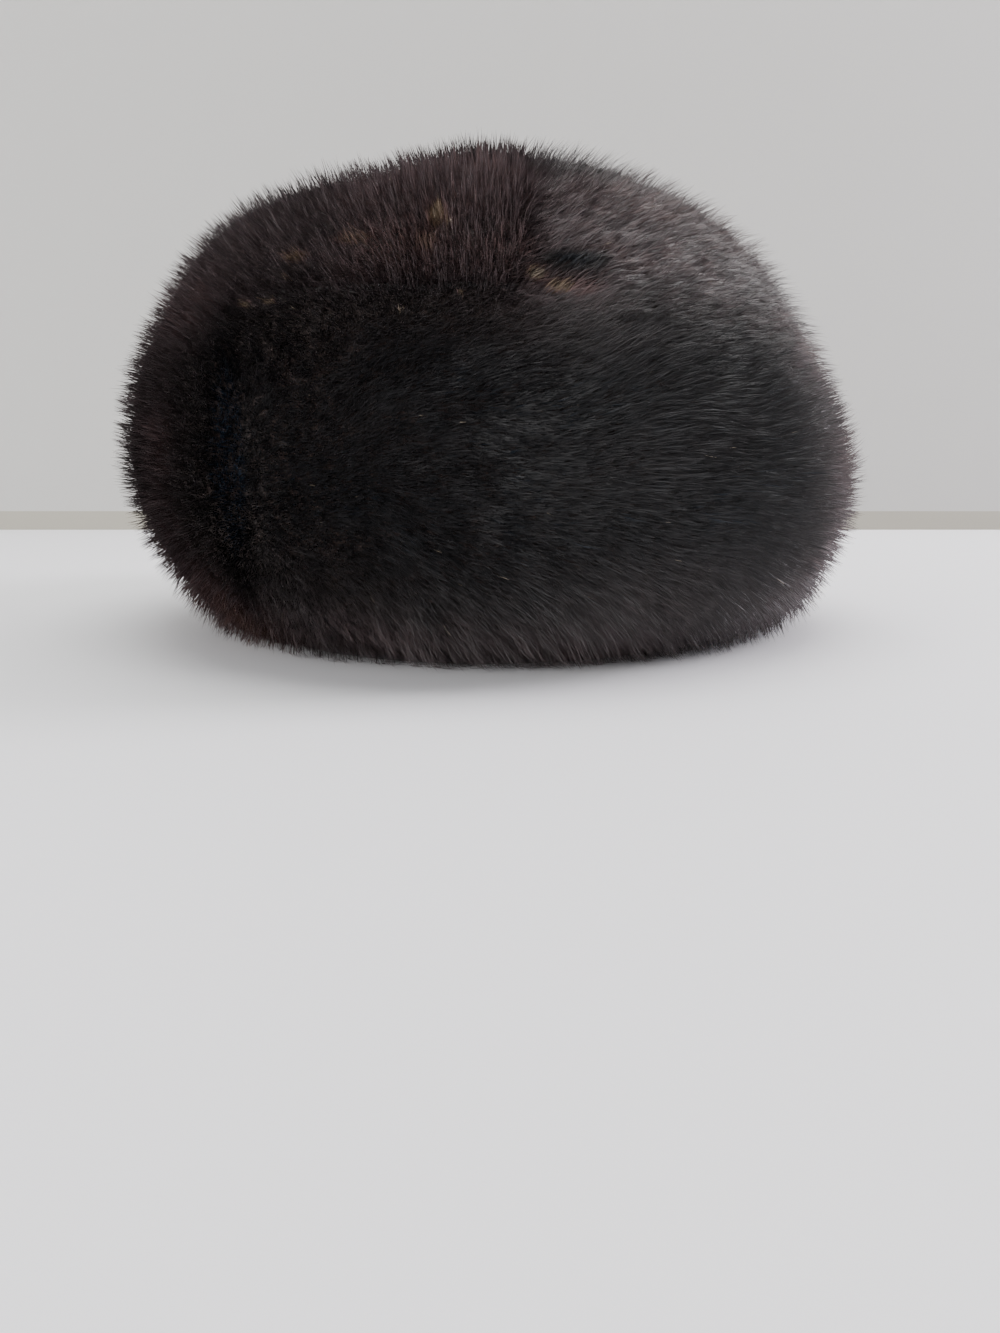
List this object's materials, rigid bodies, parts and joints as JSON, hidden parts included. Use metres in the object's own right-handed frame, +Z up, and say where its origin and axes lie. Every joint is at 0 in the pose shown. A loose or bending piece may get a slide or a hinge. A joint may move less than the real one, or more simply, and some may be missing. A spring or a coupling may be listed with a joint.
{
  "type": "fur hat",
  "caption": "Brimless rounded fur hat: a thick hollow pelt with a crown of sewn panels and a tall puffed side band, worn on the head.",
  "frame": {"origin": "middle of the rim, on the surface that the hat rests on", "axes": "+Z up through the top of the crown, -Y towards the front of the hat, +X to the right as seen from the front"},
  "size_m": [0.2636, 0.2823, 0.1649],
  "materials": {
    "crown_left_fur": "matte reddish brown guard hairs over dense underfur",
    "crown_centre_fur": "matte reddish brown guard hairs over dense underfur",
    "crown_right_fur": "glossy dark brown guard hairs lying to the right",
    "band_fur": "near black brown guard hairs over dense underfur",
    "pelt_hide": "soft matte tanned hide, the pelt's inner side"
  },
  "bodies": {
    "root": {"crown_panel_left": "crown_left_fur", "crown_panel_centre": "crown_centre_fur", "crown_panel_right": "crown_right_fur", "side_band": "band_fur"}
  },
  "joints": []
}
